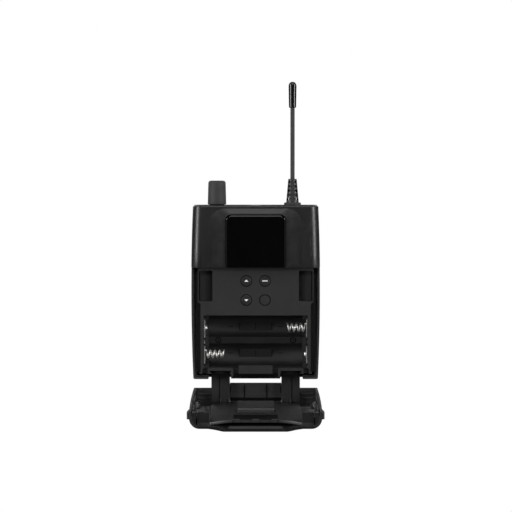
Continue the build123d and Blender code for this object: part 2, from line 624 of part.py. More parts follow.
# ---- door, drawn closed -------------------------------------------------------------------------
def make_door_shell():
    """Outer skin of the door: the lower front face with its skirts and its part of the underside."""
    outer = PACK + HUMP
    low = BOTTOM_Z - 1
    middle = ARM_INNER - ARM_SIDE_GAP
    shell = outer & block((-FAR, FAR), (-5, SKIRT_DEPTH), (low, DOOR_TOP_Z))
    shell += PACK & block((-middle, middle), (SKIRT_DEPTH - 1, MIDDLE_SKIRT_DEPTH), (low, 5))
    shell -= DOOR_CAVITY
    # rabbet along the skirts' edge, and two grooves in the wall between the arms
    rabbet = (SKIRT_DEPTH - DOOR_RABBET, SKIRT_DEPTH + 1)
    shell -= LIP_CAVITY & block((-FAR, FAR), rabbet, (BOTTOM_Z, DOOR_TOP_Z + 1))
    for side in SIDES.values():
        shell -= mirrored(side, block((middle, ARM_OUTER + ARM_SIDE_GAP), (DOOR_SKIN, FAR), (low, 4)))
        shell -= mirrored(side, block((31, 40), CATCH_DEPTH, CATCH_Z))
        groove = block((6.0, 6.5), (5.0, MIDDLE_SKIRT_DEPTH + 1), (BOTTOM_Z + DOOR_WALL - 0.5, 5))
        shell -= mirrored(side, groove)
        corner = block((POCKET_RAIL_X + 0.1, FAR), (DOOR_SKIN - 0.1, 8.4), (55, 58.6)) & DOOR_CAVITY
        shell += mirrored(side, corner)
    # the raised middle is hollow near the free end
    return shell - (hump(DOOR_SKIN) & block((-FAR, FAR), (-5, DOOR_SKIN + 1), (46, DOOR_TOP_Z + 1)))


def make_door_frame():
    """Inner frame of the door: a stiff plate, two hinge arms, two corner blocks and the free end's ribs."""
    frame = block((-PLATE_HALF, PLATE_HALF), (DOOR_SKIN, DOOR_PANEL), (PLATE_BOTTOM_Z, DOOR_TOP_Z - 2.4))
    frame -= block((-12.0, 12.0), (DOOR_SKIN - 1, DOOR_PANEL + 1), (ARCH_Z, DOOR_TOP_Z))
    frame += block((-PLATE_HALF, PLATE_HALF), (DOOR_SKIN, DOOR_SKIN + 0.5), (0.6, PLATE_BOTTOM_Z + 1))
    frame += block((-12.0, 12.0), (DOOR_SKIN + 0.2, DOOR_PANEL + 0.35), (ARCH_Z - 0.7, ARCH_Z))
    for x in (-10.3, 0, 10.3):
        frame += block((x - 1.6, x + 1.6), (DOOR_SKIN + 0.2, DOOR_PANEL + 0.6), (ARCH_Z - 1.4, ARCH_Z + 0.9))
    for side in SIDES.values():
        frame -= mirrored(side, beyond_arch())
        frame += mirrored(side, arched_rib())
        frame += mirrored(side, corner_block())
    frame = frame & DOOR_CAVITY
    for side in SIDES.values():
        frame += mirrored(side, hinge_arm())
    return frame


def arch_curve():
    return ThreePointArc((PLATE_HALF, 57.6), (18.6, 53.3), (12.0, ARCH_Z))


def beyond_arch():
    """Part of the plate that is left out between the arched rib and the free end."""
    closing = Polyline((12.0, ARCH_Z), (12.0, DOOR_TOP_Z), (PLATE_HALF, DOOR_TOP_Z), (PLATE_HALF, 57.6))
    face = Plane.XZ * make_face(arch_curve() + closing)
    return extrude(Pos(0, y_at(DOOR_SKIN - 1), 0) * face, amount=3, dir=(0, 1, 0))


def arched_rib():
    """Low rib that curves from a corner block to the recess in the middle of the free end."""
    wall = Plane.XZ * trace(arch_curve(), line_width=0.6)
    return extrude(Pos(0, y_at(DOOR_SKIN), 0) * wall, amount=1.5, dir=(0, 1, 0))


def corner_block():
    """Tall block that enters a pocket of the tray; its underside follows the door's swing."""
    outer = POCKET_X[1] - 0.2
    body = block((POCKET_X[0] + 0.9, outer), (DOOR_SKIN, CORNER_TOP_DEPTH), (42.6, 58.6))
    body = fillet(body.edges().filter_by(Axis.Y).sort_by(Axis.X)[:2], 0.7)
    # room for the catch's stem, and the recess beside it
    body -= block((29.2, outer + 1), (DOOR_SKIN + 1, 12), (42, 50.5))
    body -= block((POCKET_X[0] + 2.6, 27.6), (DOOR_PANEL + 1, 12), (42, 54.5))
    return body - rod_x(44.0, (20, 34), HINGE_DEPTH, HINGE_Z)


def gusset(x):
    """Low triangular web between an arm's root and the plate."""
    end_z = PLATE_BOTTOM_Z + 1
    profile = ((1.5, 1.6), (4.5, 1.6), (4.5, 2.9), (2.4, 3.5), (DOOR_PANEL, end_z), (1.5, end_z))
    corners = [(x - 0.25, y_at(depth), z) for depth, z in profile]
    return extrude(make_face(Polyline(*corners, close=True)), amount=0.5, dir=(1, 0, 0))


def hinge_arm():
    arm = block((ARM_INNER, ARM_OUTER), (DOOR_SKIN, HINGE_DEPTH), (ARM_BOTTOM_Z, ARM_TOP_Z))
    root = arm.edges().filter_by(Axis.X).filter_by(lambda e: abs(e.center().Z - ARM_TOP_Z) < 0.01)
    arm = fillet(root.sort_by(Axis.Y)[0], 1.0)
    arm -= block((19.9, 20.6), (DOOR_PANEL + 1.2, HINGE_DEPTH - 2.6), (ARM_TOP_Z - 0.5, ARM_TOP_Z + 1))
    for x in (ARM_INNER + 0.4, 19.6):
        arm += gusset(x)
    arm += rod_x(KNUCKLE_R, (ARM_INNER, ARM_OUTER), HINGE_DEPTH, HINGE_Z)
    bore_r = HINGE_PIN_R + HINGE_PIN_CLEARANCE
    return arm - rod_x(bore_r, (ARM_INNER - 1, ARM_OUTER + 1), HINGE_DEPTH, HINGE_Z)


def make_cell_pad():
    """Block on the inside of the door that presses on both cells."""
    pad = block((-10.1, 10.1), (DOOR_PANEL, DOOR_PANEL + 2.9), (12, 33))
    pad = fillet(pad.edges().filter_by(Axis.X).sort_by(Axis.Y)[-2:], 1.1)
    for side in SIDES.values():
        pad += mirrored(side, block((10.0, 11.0), (DOOR_PANEL, DOOR_PANEL + 1.2), (27.5, 30.0)))
    return pad


def make_catch(side):
    """Spring-loaded catch: a thumb button through the door's skirt and a hook that holds under the rim."""
    grip_z = (CATCH_Z[0] + 0.15, CATCH_Z[1] - 0.15)
    outline = Polyline(
        (33.1, grip_z[0]),
        (35.7, grip_z[0]),
        (CATCH_TIP_X, grip_z[1] - 3.2),
        (CATCH_TIP_X, grip_z[1] - 0.9),
        (CATCH_TIP_X - 0.9, grip_z[1]),
        (33.1, grip_z[1]),
        close=True,
    )
    front, back = CATCH_DEPTH[0] + 0.1, CATCH_DEPTH[1] - 0.1
    face = Pos(0, y_at(front), 0) * (Plane.XZ * make_face(outline))
    grip = extrude(face, amount=back - front, dir=(0, 1, 0))
    for row in range(4):
        grip -= rod_y(0.3, CATCH_TIP_X - 0.28 * row, CATCH_DEPTH, grip_z[1] - 2.0 - row * 1.5)
    flange = block((33.1, 34.1), (CATCH_DEPTH[0] - 0.4, 8.4), (CATCH_Z[0] - 0.8, CATCH_Z[1] + 0.8))
    flange = flange & Pos(-0.08, 0, 0) * DOOR_CAVITY
    bridge = block((30.2, 33.3), (DOOR_SKIN + 1.05, PANEL_DEPTH - 0.1), (44, 47.5))
    bridge += block((32.9, 33.6), (DOOR_SKIN + 1.05, 4.6), (44, 47.5))
    bridge = bridge & Pos(-0.08, 0, 0) * DOOR_CAVITY
    return mirrored(side, grip + flange + bridge + catch_hook())


def catch_hook():
    """Upright stem with a barb that springs out behind the pocket's rail; its nose is sloped."""
    foot, ledge = DOOR_SKIN + 1.05, POCKET_RAIL_DEPTH + 0.1
    nose = ((30.2, 10.2), (30.9, 10.2), (POCKET_RAIL_X, 8.4), (POCKET_RAIL_X, ledge))
    profile = ((30.2, foot), *nose, (31.2, ledge), (31.2, foot))
    corners = [(x, y_at(depth), 44.0) for x, depth in profile]
    return extrude(make_face(Polyline(*corners, close=True)), amount=3.5, dir=(0, 0, 1))


# ---- belt clip ----------------------------------------------------------------------------------
def make_belt_clip():
    """One bent spring wire: its two ends turn inward through the lugs, its loop hangs behind the pack."""
    y = y_at(CLIP_PIVOT_DEPTH)
    corners = (
        (0, y + 0.6, 10.5),
        (13.0, y + 0.6, 10.5),
        (19.6, y - 0.6, 21.0),
        (23.2, y + 3.2, 46.0),
        (CLIP_HALF, y, CLIP_PIVOT_Z),
        (LUG_X[0] - 0.8, y, CLIP_PIVOT_Z),
    )
    path = FilletPolyline(*corners, radius=3.5)
    half = sweep(Plane(origin=path @ 0, z_dir=path % 0) * Circle(CLIP_WIRE_R), path=path)
    return half + mirrored(-1, half)


# ---- assembly -----------------------------------------------------------------------------------
def opened(shape):
    """Swing a piece of the door from closed to fully open."""
    hinge = Pos(0, y_at(HINGE_DEPTH), HINGE_Z)
    return hinge * Rot(OPEN_ANGLE, 0, 0) * hinge.inverse() * shape


def export(name, shapes):
    shapes = shapes if isinstance(shapes, list) else [shapes]
    moved = [Pos(0, 0, -BELT_STOP_HEIGHT) * solid for shape in shapes for solid in shape.solids()]
    result = moved[0] if len(moved) == 1 else Compound(children=moved)
    export_step(result, f"{OUT}/{name}.step")


def main():
    os.makedirs("parts", exist_ok=True)
    export("front_housing", make_front_housing())
    export("rear_housing", make_rear_housing())
    export("battery_tray", make_battery_tray())
    export("tray_screws", make_tray_screws())
    export("case_screws", make_case_screws())
    export("hinge_pins", make_hinge_pins())
    export("display_lens", make_display_lens())
    export("lens_gasket", make_lens_gasket())
    export("lcd_module", make_lcd_module())
    export("lcd_carrier", make_lcd_carrier())
    export("main_board", make_main_board())
    export("rf_shield", make_rf_shield())
    export("switch_bodies", make_switch_bodies())
    for name, (x, z) in BUTTONS.items():
        export(f"switch_plunger_{name}", make_switch_plunger(x, z))
        export(f"button_{name}", make_button(x, z))
    export("ir_window", make_ir_window())
    export("ir_sensor", make_ir_sensor())
    export("volume_knob", make_volume_knob())
    export("knob_shaft", make_knob_shaft())
    export("pot_body", make_pot_body())
    export("pot_nut", make_pot_nut())
    export("antenna_base", make_antenna_base())
    export("antenna_nut", make_antenna_nut())
    export("antenna_boot", make_antenna_boot())
    export("antenna_whip", make_antenna_whip())
    export("antenna_tip", make_antenna_tip())
    export("audio_jack", make_audio_jack())
    export("jack_nut", make_jack_nut())
    export("contact_link", make_contact_link())
    export("contact_positive", make_contact_positive())
    export("contact_negative", make_contact_negative())
    export("spring_upper", make_cell_spring(1, CELL_Z[1]))
    export("spring_lower", make_cell_spring(-1, CELL_Z[0]))
    export("door_shell", opened(make_door_shell()))
    export("door_frame", opened(make_door_frame()))
    export("cell_pad", opened(make_cell_pad()))
    for name, side in SIDES.items():
        export(f"catch_{name}", opened(make_catch(side)))
    export("belt_clip", make_belt_clip())


main()
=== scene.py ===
import json
import math

import bmesh
import bpy
from mathutils import Matrix, Vector


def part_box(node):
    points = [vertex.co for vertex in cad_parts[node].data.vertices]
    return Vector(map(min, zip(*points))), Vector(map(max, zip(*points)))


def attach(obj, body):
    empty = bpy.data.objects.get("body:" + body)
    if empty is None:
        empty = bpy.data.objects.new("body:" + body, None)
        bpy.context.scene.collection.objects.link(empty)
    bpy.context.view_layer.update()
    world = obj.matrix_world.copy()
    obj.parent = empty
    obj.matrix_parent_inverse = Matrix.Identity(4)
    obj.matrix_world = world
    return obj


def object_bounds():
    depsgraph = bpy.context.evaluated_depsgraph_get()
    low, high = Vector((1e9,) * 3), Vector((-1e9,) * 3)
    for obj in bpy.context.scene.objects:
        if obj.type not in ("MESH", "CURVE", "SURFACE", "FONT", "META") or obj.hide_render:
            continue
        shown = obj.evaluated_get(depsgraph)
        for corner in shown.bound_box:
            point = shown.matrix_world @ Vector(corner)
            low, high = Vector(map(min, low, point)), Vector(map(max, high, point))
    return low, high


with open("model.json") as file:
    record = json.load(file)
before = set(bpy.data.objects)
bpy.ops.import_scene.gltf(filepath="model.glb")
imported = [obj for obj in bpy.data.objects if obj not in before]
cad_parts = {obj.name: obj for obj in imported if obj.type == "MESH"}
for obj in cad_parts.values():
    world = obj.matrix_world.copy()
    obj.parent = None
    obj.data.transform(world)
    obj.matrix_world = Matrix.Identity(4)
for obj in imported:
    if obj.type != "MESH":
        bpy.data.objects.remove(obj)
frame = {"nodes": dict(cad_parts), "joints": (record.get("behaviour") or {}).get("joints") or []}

CAD_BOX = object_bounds()
NODES = frame["nodes"]
MM = 0.001

# ---- stage and camera, in metres ----------------------------------------------------------------
WORLD_STRENGTH = 0.03        # the room is nearly dark, so that the lights alone shape the plastics
WORLD_GREY = 0.9
FLOOR_DROP = 0.16            # the pack stands free, this far above the ground
FLOOR_HALF = 1.6
FLOOR_NEAR = -0.35
FLOOR_FAR = 3.2
FLOOR_GLOW = 1.0             # how bright the camera sees the ground
FLOOR_BOUNCE = 0.45          # how much light the ground throws back at the pack
FLOOR_UNEVEN = 1.05
LIGHT_DISTANCE = 1.2
# name, azimuth from the camera's side and elevation in degrees, width and height in metres, watts;
# a light off the middle stands on both sides
LIGHTS = (
    ("softbox", 60, 8, 0.30, 0.8, 10.4),
    ("top_front", 0, 60, 0.9, 0.4, 2.4),
    ("top", 0, 75, 0.9, 0.5, 2.4),
    ("front_high", 0, 45, 0.9, 0.4, 0.8),
    ("front", 0, 20, 0.6, 0.15, 1.5),
    ("back", 150, 25, 0.8, 0.8, 6.0),
)
HUMP = 1.55 * MM             # the display's surround stands this far in front of the flat face
CAMERA_DISTANCE = 1.230
CAMERA_HEIGHT = 0.0536
CAMERA_SHIFT = 0.0002
CAMERA_AIM = 0.001           # height of the point that the camera looks at
SENSOR_WIDTH = 36.0          # mm
FOCAL_LENGTH = 157.2         # mm

# ---- bench: millimetres on the pack with its door closed ----------------------------------------
# x is the shared frame's, depth runs back from the flat face, and z runs up from the pack's foot
FRONT_Y = -25.0
FOOT_Z = -66.4
PANEL_DEPTH = 3.0            # surfaces of the tray, by their depth
POCKET_DEPTH = 10.5
GROOVE_DEPTH = 12.2
RIB_DEPTH = 17.8
TROUGH_DEPTH = 20.35
PANEL_HALF = 31.0
POCKET_FOOT = 42.2
CELL_Z = (12.15, 26.95)
PLATE_DEPTH = 2.3            # surfaces of the door's inside
PAD_DEPTH = 5.2
WALL_DEPTH = 11.4
DOOR_HINGE = next(joint for joint in frame["joints"] if joint["name"] == "door_hinge")

# ---- shapes of the fine details, in millimetres -------------------------------------------------
INK = 0.06                   # printed marks stand this far proud of a key
POINTER_HALF = 1.15
POINTER_FOOT = 0.40
POINTER_TIP = 0.66
SQUARE_HALF = 0.34
SQUARE_PITCH = 1.05
GAP_R = 2.75                 # inner radius of the dark rings of painted shade on the keys and the infrared window
KEY_GAP = 0.5
WINDOW_GAP = 0.28
DISC_STEPS = 20
RING_STEPS = 24
HEX_STEPS = 6
BROW_ANGLES = range(82, 10, -8)
MOULDING_BEVEL = 0.3
MOULDING_ANGLE = 35          # edges sharper than this, in degrees, are bevelled
PIECE_ANGLE = 30
WELD = 0.01


# ---- places -------------------------------------------------------------------------------------
def bench(x, depth, z):
    """Bench millimetres to the shared frame's metres."""
    return Vector((x, FRONT_Y + depth, FOOT_Z + z)) * MM


def door_turn():
    """Takes a point of the closed door to where the door is drawn, open."""
    pin = Vector(DOOR_HINGE["pos_m"])
    opened = Matrix.Rotation(math.radians(DOOR_HINGE["range_deg"][1]), 4, "X")
    return Matrix.Translation(pin) @ opened @ Matrix.Translation(-pin)


def front_of(name):
    """Bench x and z of a CAD node's middle, and the depth of its front."""
    low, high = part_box(name)
    return (low.x + high.x) / 2 / MM, (low.z + high.z) / 2 / MM - FOOT_Z, low.y / MM - FRONT_Y


def about(middle, half):
    return middle - half, middle + half


def set_in(surface, proud, sunk=0.0):
    """Depths of a detail that stands proud of a surface and reaches down behind it."""
    return surface - proud, surface + sunk


# ---- shader helpers -----------------------------------------------------------------------------
def new_material(name):
    material = bpy.data.materials.new(name)
    material.use_nodes = True
    tree = material.node_tree
    return material, tree, tree.nodes["Principled BSDF"]


def noise(tree, scale, detail=3.0, roughness=0.5, stretch=(1, 1, 1)):
    """Noise over the object's own coordinates; the scale counts its features per metre."""
    coords = tree.nodes.new("ShaderNodeTexCoord")
    mapping = tree.nodes.new("ShaderNodeMapping")
    mapping.inputs["Scale"].default_value = stretch
    tree.links.new(coords.outputs["Object"], mapping.inputs["Vector"])
    texture = tree.nodes.new("ShaderNodeTexNoise")
    texture.inputs["Scale"].default_value = scale
    texture.inputs["Detail"].default_value = detail
    texture.inputs["Roughness"].default_value = roughness
    tree.links.new(mapping.outputs["Vector"], texture.inputs["Vector"])
    return texture.outputs["Fac"]


def opaque(value):
    """A grey or a colour, with alpha."""
    return (*value, 1) if isinstance(value, tuple) else (value, value, value, 1)


def ramp(tree, source, low, high, start=0.35, stop=0.65):
    """Maps a 0..1 source onto a range of greys or colours."""
    node = tree.nodes.new("ShaderNodeValToRGB")
    first, last = node.color_ramp.elements
    first.position, last.position = start, stop
    first.color, last.color = opaque(low), opaque(high)
    tree.links.new(source, node.inputs["Fac"])
    return node.outputs["Color"]


def add_bump(tree, shader, layers):
    """Chains layers of (source, height in metres, strength) into the shader's normal."""
    normal = None
    for source, height, strength in layers:
        bump = tree.nodes.new("ShaderNodeBump")
        bump.inputs["Distance"].default_value = height
        bump.inputs["Strength"].default_value = strength
        tree.links.new(source, bump.inputs["Height"])
        if normal is not None:
            tree.links.new(normal, bump.inputs["Normal"])
        normal = bump.outputs["Normal"]
    tree.links.new(normal, shader.inputs["Normal"])


def paint_shade_along(tree, color, axis, near, far, factor):
    """Painted shade: scales a colour by a factor that is 1 up to one place along an axis and full
    from another.
    """
    coords = tree.nodes.new("ShaderNodeTexCoord")
    along = tree.nodes.new("ShaderNodeVectorMath")
    along.operation = "DOT_PRODUCT"
    along.inputs[1].default_value = axis
    tree.links.new(coords.outputs["Object"], along.inputs[0])
    shade_fade = tree.nodes.new("ShaderNodeMapRange")
    shade_fade.inputs["From Min"].default_value = near
    shade_fade.inputs["From Max"].default_value = far
    shade_fade.inputs["To Min"].default_value = 1.0
    shade_fade.inputs["To Max"].default_value = factor
    tree.links.new(along.outputs["Value"], shade_fade.inputs["Value"])
    product = tree.nodes.new("ShaderNodeVectorMath")
    product.operation = "SCALE"
    tree.links.new(color, product.inputs[0])
    tree.links.new(shade_fade.outputs["Result"], product.inputs["Scale"])
    return product.outputs["Vector"]


def pack_painted_shade(near, far, factor):
    """Painted shade that fades in between two bench depths of the pack."""
    return (0, 1, 0), (FRONT_Y + near) * MM, (FRONT_Y + far) * MM, factor


def door_painted_shade(direction, near, far, factor):
    """Painted shade that fades in between two depths or heights of the closed door, turned with the
    door.
    """
    turn = door_turn()
    axis = turn.to_3x3() @ Vector(direction)
    start = axis.dot(turn @ bench(0, 0, 0))
    return tuple(axis), start + near * MM, start + far * MM, factor


def door_shade_by_depth(near, far, factor):
    return door_painted_shade((0, 1, 0), near, far, factor)


def door_shade_by_height(near, far, factor):
    return door_painted_shade((0, 0, 1), near, far, factor)


def moulded(name, dark, light, rough, grain=0.35, specular=0.5, painted_shades=()):
    """Moulded black plastic: spark-eroded grain, a little handling sheen and faint dust."""
    material, tree, shader = new_material(name)
    shader.inputs["Specular IOR Level"].default_value = specular
    dust = noise(tree, scale=55, detail=4, roughness=0.6)
    color = ramp(tree, dust, dark, light, start=0.3, stop=0.7)
    # painted shade and light: each fade scales the colour along an axis
    for shade_fade in painted_shades:
        color = paint_shade_along(tree, color, *shade_fade)
    tree.links.new(color, shader.inputs["Base Color"])
    sheen = noise(tree, scale=240, detail=5)
    tree.links.new(ramp(tree, sheen, *rough, start=0.3, stop=0.7), shader.inputs["Roughness"])
    sink = noise(tree, scale=150, detail=2)
    erosion = noise(tree, scale=3600, detail=2, roughness=0.55)
    add_bump(tree, shader, [(sink, 0.12 * MM, 0.12), (erosion, 0.04 * MM, grain)])
    return material


def glossy(name, dark, light, rough, coat=0.0):
    """Polished plastic or lacquer with faint smears and slow waves."""
    material, tree, shader = new_material(name)
    shader.inputs["Coat Weight"].default_value = coat
    shader.inputs["Coat Roughness"].default_value = 0.04
    tint = noise(tree, scale=80, detail=3)
    tree.links.new(ramp(tree, tint, dark, light), shader.inputs["Base Color"])
    smear = noise(tree, scale=130, detail=6, roughness=0.65, stretch=(1, 1, 0.35))
    tree.links.new(ramp(tree, smear, *rough, stop=0.75), shader.inputs["Roughness"])
    waves = noise(tree, scale=60, detail=1)
    add_bump(tree, shader, [(waves, 0.06 * MM, 0.08)])
    return material


def metal(name, dark, light, rough, stretch=(1, 1, 1)):
    """Drawn or plated metal with fine streaks."""
    material, tree, shader = new_material(name)
    shader.inputs["Metallic"].default_value = 1.0
    streaks = noise(tree, scale=900, detail=4, stretch=stretch)
    tree.links.new(ramp(tree, streaks, dark, light), shader.inputs["Base Color"])
    wear = noise(tree, scale=700, detail=4)
    tree.links.new(ramp(tree, wear, *rough), shader.inputs["Roughness"])
    add_bump(tree, shader, [(streaks, 0.02 * MM, 0.1)])
    return material


# each finish: its darker and lighter colour, and the range of its roughness
MATERIALS = {
    # the large mouldings
    "housing": moulded(
        "housing_black", (0.0070, 0.0071, 0.0074), (0.0100, 0.0101, 0.0104), (0.32, 0.40),
    ),
    # pale: painted light on its rim, which lies in the shade of the front housing; painted shade
    # darker behind the bottom of the side grooves
    "rear": moulded(
        "rear_housing_black", (0.036, 0.0363, 0.0370), (0.045, 0.0454, 0.0462), (0.34, 0.42),
        painted_shades=[pack_painted_shade(12.3, 12.7, 0.26)],
    ),
    # painted shade: darker towards the bottom of the cell troughs
    "tray": moulded(
        "tray_black", (0.0110, 0.0112, 0.0115), (0.0150, 0.0152, 0.0156), (0.46, 0.54),
        grain=0.22, painted_shades=[pack_painted_shade(4.0, 17.0, 0.3)],
    ),
    "door": moulded(
        "door_black", (0.024, 0.0243, 0.0248), (0.032, 0.0323, 0.0330), (0.38, 0.46), grain=0.25,
    ),
    # pale along its foot wall: painted light where the pack's body shades it; darker further up and
    # darkest on the outer skin
    "shell": moulded(
        "door_shell_black", (0.0385, 0.0388, 0.0395), (0.050, 0.0504, 0.0512), (0.32, 0.40),
        painted_shades=[door_shade_by_depth(1.25, 1.1, 0.21), door_shade_by_height(0.4, 0.9, 0.45)],
    ),
    # darker than the cell pad: painted shade that tones down the highlight on the pad's rounded
    # brow
    "pad": moulded(
        "pad_brow_shade_black", (0.004, 0.0041, 0.0042), (0.006, 0.0061, 0.0062), (0.44, 0.50),
        grain=0.15, specular=0.4,
    ),

    # painted shade in gaps and recesses, and painted highlights on ridges and edges
    # near-black: painted shade in gaps and recesses, and the dark marks in the cell troughs
    "shade": moulded(
        "painted_shade_and_mark_black", (0.003, 0.003, 0.003), (0.005, 0.005, 0.005), (0.6, 0.7),
        grain=0.1, specular=0.1,
    ),
    # a lighter black: painted highlights on shelves, posts, caps and a sheet in the door
    "ridge": moulded(
        "painted_highlight_black", (0.045, 0.0453, 0.046), (0.060, 0.0603, 0.061), (0.36, 0.44), grain=0.15,
    ),

    # keys, knob and antenna
    "key": moulded(
        "key_black", (0.011, 0.011, 0.0115), (0.016, 0.016, 0.0165), (0.34, 0.44), grain=0.15,
    ),
    "print": moulded(
        "white_print", (0.86, 0.86, 0.85), (0.94, 0.94, 0.93), (0.45, 0.6), grain=0.1,
    ),
    "knob": moulded(
        "knob_black", (0.012, 0.012, 0.0123), (0.016, 0.016, 0.0163), (0.66, 0.76),
        grain=0.1, specular=0.7,
    ),
    "rubber": moulded(
        "antenna_rubber", (0.012, 0.012, 0.012), (0.018, 0.018, 0.018), (0.38, 0.48), grain=0.08,
    ),
    "whip": moulded(
        "whip_jacket", (0.024, 0.024, 0.0245), (0.032, 0.032, 0.0325), (0.65, 0.75), grain=0.0,
    ),

    # gloss
    "lens": glossy(
        "lens_black", (0.0008, 0.0008, 0.0009), (0.0012, 0.0012, 0.0014), (0.03, 0.06),
    ),
    "tip": glossy("tip_black", (0.003, 0.003, 0.0035), (0.005, 0.005, 0.0055), (0.13, 0.17)),
    "ir": glossy(
        "infrared_window", (0.017, 0.0165, 0.0165), (0.022, 0.0212, 0.0212), (0.40, 0.48),
    ),
    "board": glossy(
        "solder_mask", (0.006, 0.05, 0.022), (0.010, 0.075, 0.032), (0.25, 0.4), coat=0.3,
    ),

    # metals
    "nickel": metal("nickel", (0.86, 0.85, 0.83), (0.96, 0.95, 0.93), (0.40, 0.52)),
    "screw": metal("screw_black", (0.010, 0.010, 0.011), (0.028, 0.028, 0.030), (0.34, 0.46)),
    "wire": metal(
        "clip_wire", (0.035, 0.035, 0.037), (0.06, 0.06, 0.063), (0.30, 0.42), stretch=(6, 6, 1),
    ),
    "tin": metal("tinned_steel", (0.45, 0.45, 0.44), (0.60, 0.60, 0.58), (0.35, 0.5)),

    # inside the housing
    "dark_part": moulded(
        "component_black", (0.010, 0.010, 0.011), (0.016, 0.016, 0.017), (0.35, 0.5), grain=0.1,
    ),
    "module": moulded(
        "module_grey", (0.06, 0.065, 0.065), (0.085, 0.09, 0.09), (0.3, 0.42), grain=0.08,
    ),
}

FINISHES = {
    "housing": ("front_housing",),
    "rear": ("rear_housing",),
    "tray": ("battery_tray", "tray_screws"),
    "shell": ("door_shell", "catch_left", "catch_right"),
    "door": ("door_frame", "cell_pad"),
    "key": ("button_up", "button_down", "button_menu"),
    "knob": ("volume_knob", "antenna_base"),
    "rubber": ("antenna_boot", "antenna_nut", "lens_gasket"),
    "whip": ("antenna_whip",),
    "lens": ("display_lens",),
    "tip": ("antenna_tip",),
    "ir": ("ir_window", "ir_sensor"),
    "nickel": (
        "contact_link", "contact_positive", "contact_negative",
        "spring_upper", "spring_lower", "jack_nut",
    ),
    "screw": ("case_screws", "pot_nut"),
    "tin": ("rf_shield", "hinge_pins", "knob_shaft"),
    "wire": ("belt_clip",),
    "board": ("main_board",),
    "module": ("lcd_module",),
    "dark_part": (
        "pot_body", "audio_jack", "lcd_carrier", "switch_bodies",
        "switch_plunger_up", "switch_plunger_down", "switch_plunger_menu",
    ),
}
LARGE_MOULDINGS = ("front_housing", "rear_housing", "battery_tray", "door_frame", "door_shell")


def dress_cad_nodes():
    for finish, names in FINISHES.items():
        for name in names:
            materials = NODES[name].data.materials
            materials.clear()
            materials.append(MATERIALS[finish])


def add_bevel(thing, width, segments, angle):
    bevel = thing.modifiers.new("edge", "BEVEL")
    bevel.width = width * MM
    bevel.segments = segments
    bevel.limit_method = "ANGLE"
    bevel.angle_limit = math.radians(angle)


def soften_mouldings():
    """A fine bevel on the large mouldings' sharp edges, so that they catch the light."""
    for name in LARGE_MOULDINGS:
        NODES[name].modifiers.new("weld", "WELD").merge_threshold = WELD * MM
        add_bevel(NODES[name], MOULDING_BEVEL, 2, MOULDING_ANGLE)


# ---- pieces: bench outlines drawn out into prisms -----------------------------------------------
def face_prism(outline, depths):
    """Outline in x and z, from one depth to another."""
    return [[(x, depth, z) for x, z in outline] for depth in depths]


def side_prism(outline, across):
    """Outline in depth and z, from one x to another."""
    return [[(x, depth, z) for depth, z in outline] for x in across]


def box_prism(across, depths, heights):
    (left, right), (low, high) = across, heights
    return face_prism([(left, low), (right, low), (right, high), (left, high)], depths)


def disc(x, z, radius, count=DISC_STEPS):
    turns = [2 * math.pi * i / count for i in range(count)]
    return [(x + radius * math.cos(a), z + radius * math.sin(a)) for a in turns]


def both(prisms):
    """The prisms and their mirror images on the other side."""
    mirrored = [[[(-x, depth, z) for x, depth, z in loop] for loop in prism] for prism in prisms]
    return prisms + mirrored


def add_prism(bm, prism, turn):
    front, back = ([bm.verts.new(turn @ bench(*point)) for point in loop] for loop in prism)
    bm.faces.new(front)
    bm.faces.new(back[::-1])
    count = len(front)
    for i in range(count):
        j = (i + 1) % count
        bm.faces.new((front[i], back[i], back[j], front[j]))


def add_ring(bm, x, z, inner, outer, depths, turn):
    """A flat washer that faces the front."""
    front, back = depths
    loops = [
        [bm.verts.new(turn @ bench(px, depth, pz)) for px, pz in disc(x, z, radius, RING_STEPS)]
        for radius, depth in ((outer, front), (outer, back), (inner, back), (inner, front))
    ]
    for first, second in zip(loops, loops[1:] + loops[:1]):
        for i in range(RING_STEPS):
            j = (i + 1) % RING_STEPS
            bm.faces.new((first[i], first[j], second[j], second[i]))


def add_piece(name, body, finish, prisms=(), rings=(), bevel=0.0):
    turn = door_turn() if body == "door" else Matrix.Identity(4)
    mesh = bpy.data.meshes.new(name)
    bm = bmesh.new()
    for prism in prisms:
        add_prism(bm, prism, turn)
    for ring in rings:
        add_ring(bm, *ring, turn)
    bmesh.ops.recalc_face_normals(bm, faces=bm.faces)
    bm.to_mesh(mesh)
    bm.free()
    piece = bpy.data.objects.new(name, mesh)
    bpy.context.scene.collection.objects.link(piece)
    mesh.materials.append(MATERIALS[finish])
    if bevel:
        add_bevel(piece, bevel, 3, PIECE_ANGLE)
    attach(piece, body)


# ---- details on the front of the pack -----------------------------------------------------------
def build_key_marks():
    """A pointer on two of the keys, and three small squares on the third."""
    for key, direction in (("up", 1), ("down", -1), ("menu", 0)):
        x, z, depth = front_of("button_" + key)
        ink = about(depth, INK)
        if direction:
            foot, tip = z - direction * POINTER_FOOT, z + direction * POINTER_TIP
            left, right = about(x, POINTER_HALF)
            marks = [face_prism([(left, foot), (right, foot), (x, tip)], ink)]
        else:
            marks = [
                box_prism(about(middle, SQUARE_HALF), ink, about(z, SQUARE_HALF))
                for middle in (x - SQUARE_PITCH, x, x + SQUARE_PITCH)
            ]
        add_piece("mark_" + key, "key_" + key, "print", marks)


def build_key_gaps():
    """Painted shade: dark rings in the gaps round the keys and round the infrared window."""
    rings = []
    for name in ("button_up", "button_down", "button_menu", "ir_window"):
        x, z, _ = front_of(name)
        gap = WINDOW_GAP if name == "ir_window" else KEY_GAP
        rings.append((x, z, GAP_R, GAP_R + gap, set_in(PANEL_DEPTH, proud=0.05, sunk=0.2)))
    add_piece("key_gap_shade", "pack", "shade", rings=rings)


